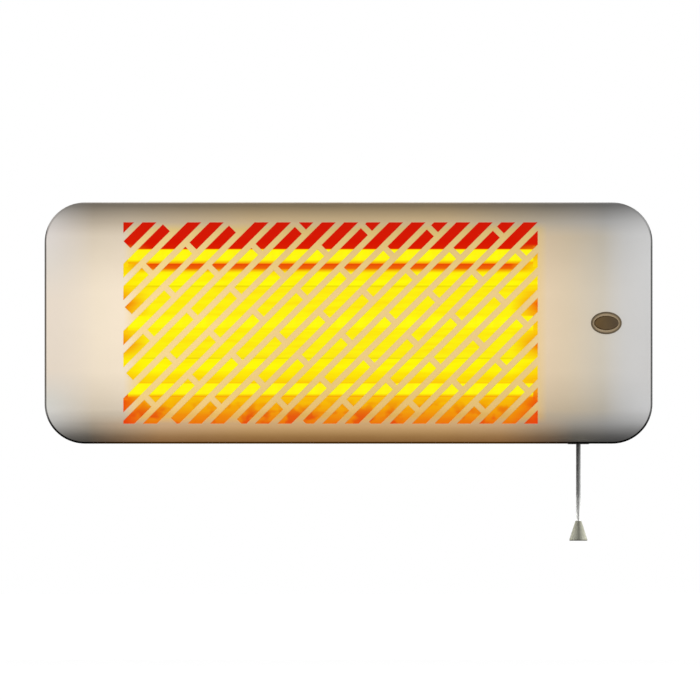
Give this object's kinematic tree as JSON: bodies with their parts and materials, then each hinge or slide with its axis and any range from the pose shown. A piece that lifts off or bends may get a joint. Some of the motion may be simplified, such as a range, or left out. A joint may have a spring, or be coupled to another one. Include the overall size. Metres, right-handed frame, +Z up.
{
  "type": "infrared bathroom heater",
  "caption": "Wall-hung infrared quartz heater: pressed cover with diagonal slots over glowing tubes, oval pilot lamp, pull-cord switch and a tilting wall bracket.",
  "frame": {"origin": "centre of the wall plate's back face, on the wall", "axes": "+Z up, +X to the right seen from the front, -Y out of the wall towards the room"},
  "size_m": [0.5, 0.1082, 0.2789],
  "materials": {
    "cover_steel": "satin",
    "zinc_steel": "zinc coated",
    "bracket_paint": "semi-matt paint",
    "fastener_steel": "bright zinc",
    "reflector_aluminium": "polished",
    "quartz": "clear quartz, lit from inside",
    "hot_wire": "glowing resistance wire",
    "cap_ceramic": "unglazed",
    "contact_brass": "bright",
    "block_plastic": "moulded",
    "gland_plastic": "moulded",
    "cutout_plastic": "phenolic",
    "live_sleeve": "silicone sleeve",
    "neutral_sleeve": "silicone sleeve",
    "earth_sleeve": "silicone sleeve",
    "lamp_sleeve": "silicone sleeve",
    "bush_rubber": "moulded",
    "bezel_plastic": "satin",
    "lens_plastic": "tinted",
    "neon_glass": "clear",
    "clip_steel": "spring steel",
    "switch_plastic": "moulded",
    "slider_plastic": "nylon",
    "washer_fibre": "vulcanised fibre",
    "cord_fabric": "twisted",
    "bell_plastic": "satin"
  },
  "bodies": {
    "wall_bracket": {"wall_plate": "bracket_paint", "pivot_bolts": "fastener_steel", "pivot_nuts": "fastener_steel"},
    "heater_body": {"front_cover": "cover_steel", "rear_cover": "zinc_steel", "element_holder_left": "zinc_steel", "element_holder_right": "zinc_steel", "tilt_lugs": "bracket_paint", "cover_screws": "fastener_steel", "holder_screws": "fastener_steel", "block_screws": "fastener_steel", "switch_screws": "fastener_steel", "cutout_screws": "fastener_steel", "reflector_rivets": "fastener_steel", "lug_rivets": "fastener_steel", "rotor_spindle": "fastener_steel", "return_spring": "fastener_steel", "reflector": "reflector_aluminium", "quartz_tube_top": "quartz", "quartz_tube_middle": "quartz", "quartz_tube_bottom": "quartz", "heating_coil_top": "hot_wire", "heating_coil_middle": "hot_wire", "heating_coil_bottom": "hot_wire", "ceramic_caps": "cap_ceramic", "terminal_pins": "contact_brass", "terminal_nuts": "contact_brass", "terminal_screws": "contact_brass", "busbar_left": "contact_brass", "busbar_right": "contact_brass", "earth_stud": "contact_brass", "earth_nuts": "contact_brass", "switch_terminals": "contact_brass", "terminal_block": "block_plastic", "cable_gland": "gland_plastic", "gland_nut": "gland_plastic", "thermal_cutout": "cutout_plastic", "live_lead": "live_sleeve", "cutout_lead": "live_sleeve", "switched_lead": "live_sleeve", "neutral_lead": "neutral_sleeve", "earth_lead": "earth_sleeve", "lamp_leads": "lamp_sleeve", "lead_grommets": "bush_rubber", "cord_grommet": "bush_rubber", "lamp_bezel": "bezel_plastic", "lamp_lens": "lens_plastic", "neon_lamp": "neon_glass", "lamp_clip": "clip_steel", "switch_case": "switch_plastic", "switch_cover": "switch_plastic", "friction_washers": "washer_fibre"},
    "pull_slider": {"pull_slider": "slider_plastic"},
    "ratchet_rotor": {"ratchet_rotor": "slider_plastic", "rotor_contact": "contact_brass"},
    "cord_bead": {"cord_bead": "slider_plastic", "bead_pin": "fastener_steel"},
    "pull_cord": {"pull_cord": "cord_fabric", "pull_bell": "bell_plastic"}
  },
  "joints": [
    {"name": "body_tilt", "type": "hinge", "parent": "wall_bracket", "child": "heater_body", "pos_m": [0, -0.018, -0.02], "axis": [1, 0, 0], "range_deg": [0, 25]},
    {"name": "cord_pull", "type": "slide", "parent": "heater_body", "child": "pull_slider", "axis": [0, 0, -1], "range_m": [0, 0.008], "stiffness_N_per_m": 400, "springref_m": -0.005, "deforming": ["return_spring"]},
    {"name": "rotor_turn", "type": "hinge", "parent": "heater_body", "child": "ratchet_rotor", "pos_m": [0.20359, -0.055, -0.03041], "axis": [0, -1, 0], "range_deg": [0, 50]},
    {"name": "cord_swing_front", "type": "hinge", "parent": "pull_slider", "child": "cord_bead", "pos_m": [0.1896, -0.055, -0.0708], "axis": [1, 0, 0], "range_deg": [-25, 25]},
    {"name": "cord_swing_side", "type": "hinge", "parent": "cord_bead", "child": "pull_cord", "pos_m": [0.1896, -0.055, -0.0708], "axis": [0, 1, 0], "range_deg": [-25, 25]}
  ],
  "couplings": [
    {"joint": "rotor_turn", "follows": "cord_pull", "rad_per_m": 98.175}
  ]
}
